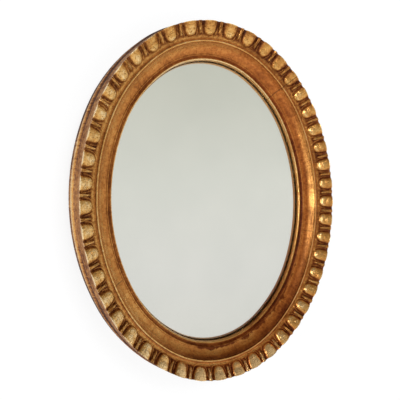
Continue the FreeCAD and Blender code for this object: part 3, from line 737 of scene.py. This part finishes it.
def gilded_wood(name, grain_turn):
    """Toned leaf on wood, whose grain is turned about the depth by an angle."""
    material, tree = new_material(name)
    place = add(tree, "TexCoord", out="Object")
    mottling = add(tree, "TexNoise", {"Vector": place, "Scale": per_mm(3.6), "Detail": 5.0,
                                      "Roughness": 0.65})
    leaf, shown = toned_leaf(tree, place, mottling)
    board, grain = bare_board(tree, place, grain_turn)

    gilt = add(tree, "Attribute", out="Fac", attribute_name="gilt")
    ragged = add(tree, "Math", {0: mottling, 1: 0.8, 2: -0.4}, operation="MULTIPLY_ADD")
    edge = add(tree, "Math", {0: gilt, 1: ragged}, operation="ADD", use_clamp=True)
    covered = add(tree, "MapRange", {"Value": edge, "From Min": 0.4, "From Max": 0.6})
    colour = add(tree, "Mix", {"Factor": covered, "A": board, "B": leaf}, out=2, data_type="RGBA")
    metal = add(tree, "Math", {0: covered, 1: LEAF_METAL}, operation="MULTIPLY")
    dull = add(tree, "MapRange", {"Value": shown, "From Min": 0.1, "From Max": 0.70, "To Min": 0.75,
                                  "To Max": 0.16})
    rough = add(tree, "Math", {0: mottling, 1: 0.16, 2: dull}, operation="MULTIPLY_ADD")
    relief = add(tree, "Mix", {"Factor": covered, 2: grain, 3: mottling}, data_type="FLOAT")
    bump = add(tree, "Bump", {"Height": relief, "Strength": 0.5, "Distance": 0.0006})
    skin = add(tree, "BsdfPrincipled", {"Base Color": colour, "Metallic": metal, "Roughness": rough,
                                        "Specular Tint": tint("#FFF4E4"), "Coat Weight": 0.10,
                                        "Coat Roughness": 0.3, "Normal": bump})
    add(tree, "OutputMaterial", {"Surface": skin})
    return material


LEVEL_GRAIN = gilded_wood("gilded_wood_level_grain", 0.0)
UPRIGHT_GRAIN = gilded_wood("gilded_wood_upright_grain", math.radians(90))
for side, piece in frame_pieces.items():
    piece.data.materials.append(LEVEL_GRAIN if side in ("top", "bottom") else UPRIGHT_GRAIN)
print("gilded:", ", ".join(piece.name for piece in frame_pieces.values()))

# %% [markdown]
# ## The mirror glass
# A looking glass is a clear sheet, silvered on its back. The reflection lies behind the surface, so at the
# sight edge the lip and its reflection stand apart by the glass's thickness, with a dark line between them.
# One mirror surface could not show that. We make the slab from the oval's own arcs and give its back face
# silver and the rest clear glass.

# %% Cut the glass
GLASS_EDGE_OUT, GLASS_BACK, GLASS_THICKNESS = 6.0, 5.24, 3.92
GLASS_BEVEL, GLASS_ARC_STEPS = 0.4, 24


def glass_slab():
    """The slab, cut along the oval, with its arris ground off."""
    bm = bmesh.new()
    centre_x, centre_z, radius, first, _ = ARCS[0]
    radius, first = radius + GLASS_EDGE_OUT, math.radians(first)
    geometry = [bm.verts.new((centre_x + radius * math.sin(first), -PAD_THICKNESS - GLASS_BACK,
                              centre_z + radius * math.cos(first)))]
    for centre_x, centre_z, _, arc_start, arc_end in ARCS:
        spun = bmesh.ops.spin(bm, geom=geometry, cent=(centre_x, 0, centre_z), axis=(0, 1, 0),
                              angle=math.radians(arc_end - arc_start), steps=GLASS_ARC_STEPS,
                              use_duplicate=False)
        geometry = [part for part in spun["geom_last"] if isinstance(part, bmesh.types.BMVert)]
    bmesh.ops.remove_doubles(bm, verts=bm.verts, dist=0.01)
    bmesh.ops.contextual_create(bm, geom=bm.edges)
    raised = bmesh.ops.extrude_face_region(bm, geom=bm.faces)
    front = [part for part in raised["geom"] if isinstance(part, bmesh.types.BMVert)]
    bmesh.ops.translate(bm, vec=(0, -GLASS_THICKNESS, 0), verts=front)
    bmesh.ops.recalc_face_normals(bm, faces=bm.faces)
    rims = [edge for edge in bm.edges if abs(edge.verts[0].co.y - edge.verts[1].co.y) < 0.01]
    bmesh.ops.bevel(bm, geom=rims, offset=GLASS_BEVEL, affect="EDGES", segments=2, profile=0.5,
                    material=-1)
    for face in bm.faces:
        face.material_index = 1 if face.normal.y > 0.9 else 0
    bmesh.ops.scale(bm, vec=(0.001, 0.001, 0.001), verts=bm.verts)
    return new_piece("looking_glass", bm)


looking_glass = glass_slab()
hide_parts("mirror_glass")
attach(looking_glass, "frame")
print("glass faces:", len(looking_glass.data.polygons))

# %% Glass and silver
# Float glass: clear and colourless through its face, with no visible grain.
clear_glass, tree = new_material("clear_float_glass")
body = add(tree, "BsdfPrincipled", {"Base Color": tint("#FFFFFF"), "Roughness": 0.0, "IOR": 1.52,
                                    "Transmission Weight": 1.0})
add(tree, "OutputMaterial", {"Surface": body})

# Silvering: a bright neutral metal film, with a few faint cloudy places from age.
silvering, tree = new_material("chemical_silvering")
place = add(tree, "TexCoord", out="Object")
cloud = add(tree, "TexNoise", {"Vector": place, "Scale": per_mm(90.0), "Detail": 2.0})
film = add(tree, "ValToRGB", {"Fac": cloud}, stops=[
    (0.3, "#F0F1EE"), (0.7, "#F6F6F3")])
mirror = add(tree, "BsdfPrincipled", {"Base Color": film, "Metallic": 1.0, "Roughness": 0.0})
add(tree, "OutputMaterial", {"Surface": mirror})
for material in (clear_glass, silvering):
    looking_glass.data.materials.append(material)
    print("glass has", material.name)

# %% [markdown]
# ## Wood and card behind the glass
# A plywood board closes the back and a sheet of card keeps it off the silvering; four beech tongues hold
# the joints together inside the wood. Their solids already have the right shape, so they keep it and only
# get a finish. The grain is noise that is stretched along one axis: one setting for how far apart the
# fibres lie and one for how long they run tells birch veneer from beech and from the felted fibres of card.

# %% Finish the wood and the card
def fibre_finish(name, fibre, stretch, stops, age, rough, relief):
    """A fibrous sheet: fibres this many mm apart, stretched along x, y and z, with stains of age."""
    material, tree = new_material(name)
    place = add(tree, "TexCoord", out="Object")
    drawn = add(tree, "Mapping", {"Vector": place, "Scale": stretch})
    grain = add(tree, "TexNoise", {"Vector": drawn, "Scale": per_mm(fibre), "Detail": 5.0,
                                   "Roughness": 0.6, "Distortion": 0.6})
    body = add(tree, "ValToRGB", {"Fac": grain}, stops=stops)
    stain = add(tree, "TexNoise", {"Vector": place, "Scale": per_mm(70.0), "Detail": 4.0})
    stained = add(tree, "ValToRGB", {"Fac": stain}, stops=[(0.42, "#FFFFFF"), (0.70, age)])
    colour = add(tree, "Mix", {"Factor": 1.0, "A": body, "B": stained}, out=2, data_type="RGBA",
                 blend_type="MULTIPLY")
    dull = add(tree, "MapRange", {"Value": grain, "To Min": rough, "To Max": rough + 0.15})
    bump = add(tree, "Bump", {"Height": grain, "Strength": 0.5, "Distance": relief / 1000})
    skin = add(tree, "BsdfPrincipled", {"Base Color": colour, "Roughness": dull, "Normal": bump})
    add(tree, "OutputMaterial", {"Surface": skin})
    return material


def dress(material, *names):
    """Give a finish to solids that keep their shape."""
    for name in names:
        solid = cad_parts[name]
        if not solid.material_slots:
            solid.data.materials.append(material)
        for place in solid.material_slots:
            place.material = material
    print(material.name, "on", ", ".join(names))


# Birch plywood, sanded: pale straw with fine upright grain and tea-coloured stains.
dress(fibre_finish("birch_plywood", 2.4, (1.0, 1.0, 0.045), [
    (0.28, "#A67F4E"), (0.45, "#C5A06B"), (0.60, "#D3B382"), (0.75, "#DCC195")],
    "#CDB594", 0.55, 0.25), "backboard")
# Grey pulp board: short felted fibres, matt all over.
dress(fibre_finish("pulp_board", 1.2, (1.0, 1.0, 0.6), [
    (0.30, "#7C7264"), (0.55, "#978C7C"), (0.75, "#A89E8E")],
    "#A89880", 0.80, 0.10), "backing_card")
# Beech, planed: pinkish tan with short brown flecks.
dress(fibre_finish("planed_beech", 1.8, (0.12, 1.0, 0.12), [
    (0.30, "#9C6F46"), (0.50, "#BC8F63"), (0.72, "#CDA57A")],
    "#C2A283", 0.50, 0.15), *("joint_spline_" + corner for corner in JOINTS))

# %% [markdown]
# ## Metal on the back
# Turn buttons and their screws are zinc-plated steel, dulled to a soft grey. The hanger is brass that has
# gone brown where nobody touches it. Both are plain metals for the shader, so the difference lies in the
# colour, in how cloudy the gloss is, and in fine scratches, which are noise stretched along the length of
# the piece.

# %% Finish the metal
def metal_finish(name, cloud, stops, gloss):
    """A bare metal with clouds of tarnish this many mm apart, and the least and greatest roughness."""
    material, tree = new_material(name)
    place = add(tree, "TexCoord", out="Object")
    tarnish = add(tree, "TexNoise", {"Vector": place, "Scale": per_mm(cloud), "Detail": 6.0,
                                     "Roughness": 0.6})
    drawn = add(tree, "Mapping", {"Vector": place, "Scale": (0.08, 1.0, 1.0)})
    scratches = add(tree, "TexNoise", {"Vector": drawn, "Scale": per_mm(0.5), "Detail": 2.0})
    colour = add(tree, "ValToRGB", {"Fac": tarnish}, stops=stops)
    rough = add(tree, "MapRange", {"Value": tarnish, "From Min": 0.3, "From Max": 0.7, "To Min": gloss[1],
                                   "To Max": gloss[0]})
    bump = add(tree, "Bump", {"Height": scratches, "Strength": 0.25, "Distance": 0.00008})
    skin = add(tree, "BsdfPrincipled", {"Base Color": colour, "Metallic": 1.0, "Roughness": rough,
                                        "Normal": bump})
    add(tree, "OutputMaterial", {"Surface": skin})
    return material


BUTTONS = sorted(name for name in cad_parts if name.startswith("turn_button_"))
# Zinc plate: blue-grey, cloudy, with a faint yellow bloom.
dress(metal_finish("zinc_plated_steel", 7.0, [
    (0.30, "#8F8D83"), (0.50, "#B4B5B2"), (0.70, "#C6C9CB")], (0.26, 0.50)), *BUTTONS)
# Old brass: yellow where it is rubbed, brown in between.
dress(metal_finish("tarnished_brass", 5.0, [
    (0.30, "#5E4220"), (0.48, "#9A7538"), (0.62, "#BC954C"), (0.75, "#D2AE68")],
    (0.24, 0.52)), "hanger_plate", "hanger_ring", "hanger_screws")

# %% [markdown]
# ## Felt pads
# Two felt discs low on the back keep the frame off the wall paint. A punched felt disc has a soft edge and
# a slightly crowned, hairy face. We start from a cylinder where the solid lies, round its rims with a
# bevel, divide its faces, and push the points in a little by seeded random amounts. The hairs themselves
# are too fine for the mesh, so the material draws them as bump and gives the edge a light sheen.

# %% Make the pads
PAD_ROUND, PAD_FUZZ, PAD_RINGS = 1.4, 0.16, 3


def felt_pad(name):
    """A felt disc in the place of the solid of that name."""
    low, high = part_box(name)
    middle = [(a + b) / 2 for a, b in zip(low, high)]
    radius, thickness = (high[0] - low[0]) / 2, high[1] - low[1]
    bm = bmesh.new()
    bmesh.ops.create_cone(bm, cap_ends=True, segments=40, radius1=radius, radius2=radius, depth=thickness)
    rims = [edge for edge in bm.edges if abs(edge.verts[0].co.z - edge.verts[1].co.z) < 1e-6]
    bmesh.ops.bevel(bm, geom=rims, offset=PAD_ROUND / 1000, affect="EDGES", segments=4, profile=0.5,
                    material=-1)
    for _ in range(PAD_RINGS):
        caps = [face for face in bm.faces if len(face.verts) > 4]
        bmesh.ops.inset_region(bm, faces=caps, thickness=0.2 * radius)
    uprights = [edge for edge in bm.edges
                if abs(edge.verts[0].co.z - edge.verts[1].co.z) > 0.4 * thickness]
    bmesh.ops.subdivide_edges(bm, edges=uprights, cuts=3, use_grid_fill=True)
    fuzz = np.random.default_rng(31)
    for corner in bm.verts:
        corner.co -= corner.co.normalized() * fuzz.uniform(0, PAD_FUZZ / 1000)
    turned = Matrix.Translation(middle) @ Matrix.Rotation(math.radians(90), 4, "X")
    bmesh.ops.transform(bm, matrix=turned, verts=bm.verts)
    bmesh.ops.recalc_face_normals(bm, faces=bm.faces)
    pad = new_piece(name.replace("wall_pad", "felt_disc"), bm)
    pad.data.shade_smooth()
    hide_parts(name)
    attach(pad, "frame")
    return pad


# Wool felt: dark brown-grey, matt, with short hairs in every direction.
wool_felt, tree = new_material("pressed_wool_felt")
place = add(tree, "TexCoord", out="Object")
hairs = add(tree, "TexNoise", {"Vector": place, "Scale": per_mm(0.6), "Detail": 6.0,
                               "Roughness": 0.75, "Distortion": 1.5})
matted = add(tree, "ValToRGB", {"Fac": hairs}, stops=[
    (0.30, "#2F2A24"), (0.50, "#4B443B"), (0.72, "#6A6154")])
bump = add(tree, "Bump", {"Height": hairs, "Strength": 0.8, "Distance": 0.0003})
wool = add(tree, "BsdfPrincipled", {"Base Color": matted, "Roughness": 0.95, "Sheen Weight": 0.3,
                                    "Normal": bump})
add(tree, "OutputMaterial", {"Surface": wool})
for pad in (felt_pad("wall_pad_right"), felt_pad("wall_pad_left")):
    pad.data.materials.append(wool_felt)
    print(pad.name, "faces:", len(pad.data.polygons))

# %% [markdown]
# ## The studio
# The mirror hangs on a white wall. The wall is there for the camera and for the shadow, and it is left out
# of reflections and of the light on the back, so that the mirror can also be looked at from behind, through
# it. A large soft key light stands far to the left, where it makes the long highlight in the right-hand
# cove. Two more fill in from the lower right and the upper right, and metal and glass do not show them. The
# world is a pale room: what the glass reflects is a plain grey-green wall, a little lighter towards the
# floor. Metal and glass that turn towards the wall behind see white there, as the camera does.

# %% Wall and floor
def stage_sheet(name, corner, across, up):
    """A flat sheet of the studio, from one corner and its two sides."""
    bm = bmesh.new()
    bmesh.ops.create_grid(bm, x_segments=1, y_segments=1, size=0.5)
    across, up = Vector(across), Vector(up)
    facing = across.cross(up).normalized()
    turned = Matrix((across, up, facing)).transposed().to_4x4()
    middle = Matrix.Translation(Vector(corner) + (across + up) / 2)
    bmesh.ops.transform(bm, matrix=middle @ turned, verts=bm.verts)
    sheet = new_piece(name, bm)
    sheet.visible_shadow = sheet.visible_diffuse = sheet.visible_glossy = sheet.visible_transmission = False
    return sheet


ROOM_HALF, FLOOR_DROP, WALL_GAP = 3.0, 0.9, 0.0005
room_across = (2 * ROOM_HALF, 0, 0)
wall = stage_sheet("wall", (-ROOM_HALF, WALL_GAP, -FLOOR_DROP), room_across, (0, 0, 2 * ROOM_HALF))
floor = stage_sheet("floor", (-ROOM_HALF, -ROOM_HALF, -FLOOR_DROP), room_across, (0, 2 * ROOM_HALF, 0))

white_paint, tree = new_material("white_wall_paint")
seen_from_behind = add(tree, "NewGeometry", out="Backfacing")
matt = add(tree, "BsdfDiffuse", {"Color": tint("#7A7E85")})
glow = add(tree, "Emission", {"Color": tint("#FFFFFF"), "Strength": 0.80})
paint = add(tree, "AddShader", {0: matt, 1: glow})
clear = add(tree, "BsdfTransparent")
shown = add(tree, "MixShader", {0: seen_from_behind, 1: paint, 2: clear})
add(tree, "OutputMaterial", {"Surface": shown})
for sheet in (wall, floor):
    sheet.data.materials.append(white_paint)
print("wall normal:", tuple(wall.data.polygons[0].normal))

# %% Light
def soft_light(name, place, size, power, colour):
    """A square soft light at a place, turned to the middle of the mirror."""
    lamp = bpy.data.lights.new(name, "AREA")
    lamp.size = size
    lamp.energy = power
    lamp.color = tint(colour)[:3]
    holder = bpy.data.objects.new(name, lamp)
    bpy.context.scene.collection.objects.link(holder)
    aimed = (-Vector(place)).to_track_quat("-Z", "Y").to_matrix().to_4x4()
    holder.matrix_world = Matrix.Translation(place) @ aimed
    print(name, "at", place)
    return holder


soft_light("key_light", (-1.55, -0.46, 0.02), 0.5, 13.0, "#FFF6E8")
fill_light = soft_light("fill_light", (0.5, -1.5, -0.9), 1.2, 5.5, "#FAF6EE")
window_light = soft_light("window_light", (0.5, -1.5, 0.95), 0.8, 17.0, "#FFFAF2")
for lamp in (fill_light, window_light):
    lamp.visible_glossy = lamp.visible_transmission = False

# %% World
world = bpy.data.worlds.new("room")
bpy.context.scene.world = world
world.use_nodes = True
tree = world.node_tree
tree.nodes.clear()
ray = add(tree, "LightPath").node.outputs
toward = add(tree, "SeparateXYZ", {0: add(tree, "TexCoord", out="Generated")}).node.outputs
level = add(tree, "MapRange", {"Value": toward["Z"], "From Min": -1.0, "From Max": 1.0})
turned = add(tree, "MapRange", {"Value": toward["X"], "From Min": -1.0, "From Max": 1.0})
# What the glass shows: a plain wall, a little lighter towards the floor.
plain_wall = add(tree, "ValToRGB", {"Fac": level}, stops=[
    (0.10, "#D8D7D0"), (0.36, "#E2E2DE"), (0.50, "#DFE0D9"), (0.66, "#CDCEC3"),
    (0.95, "#A0A098")])
# What the gilding shows: dim curtains in front and to the left, pale walls to the right, a dim ceiling.
sides = add(tree, "ValToRGB", {"Fac": turned}, stops=[
    (0.02, "#F4F0E8"), (0.14, "#A6A197"), (0.50, "#B0ABA1"), (0.62, "#EEEBE4"),
    (1.00, "#FFFDF8")])
height = add(tree, "ValToRGB", {"Fac": level}, stops=[
    (0.05, "#FFFFFF"), (0.50, "#F4F2EE"), (0.68, "#9A958C"), (0.86, "#544F47")])
walls = add(tree, "Mix", {"Factor": 1.0, "A": sides, "B": height},
            out=2, data_type="RGBA", blend_type="MULTIPLY")
# Warm light comes up from the floor, a little brighter than white.
FLOOR_LIGHT = (1.28, 1.20, 1.08, 1.0)
floor_glow = add(tree, "MapRange", {"Value": level, "From Min": 0.38, "From Max": 0.10})
soft_room = add(tree, "Mix", {"Factor": floor_glow, "A": walls, "B": FLOOR_LIGHT}, out=2, data_type="RGBA")
room = add(tree, "Mix", {"Factor": ray["Is Singular Ray"], "A": soft_room,
                         "B": plain_wall}, out=2, data_type="RGBA")
room_light = add(tree, "Background", {"Color": room, "Strength": 1.0})
white = add(tree, "Background", {"Color": tint("#FFFFFF"), "Strength": 1.0})
# The white wall behind is seen by the camera, and by metal and glass that turn towards it.
behind = add(tree, "MapRange", {"Value": toward["Y"], "From Max": 0.2})
shiny = add(tree, "Math", {0: ray["Is Glossy Ray"], 1: ray["Is Transmission Ray"]},
            operation="MAXIMUM")
mirrored = add(tree, "Math", {0: behind, 1: shiny}, operation="MULTIPLY")
seen = add(tree, "Math", {0: ray["Is Camera Ray"], 1: mirrored}, operation="MAXIMUM")
both = add(tree, "MixShader", {0: seen, 1: room_light, 2: white})
add(tree, "OutputWorld", {"Surface": both})
bpy.context.scene.view_settings.view_transform = "Standard"
print("world:", world.name, "with", len(tree.nodes), "nodes")
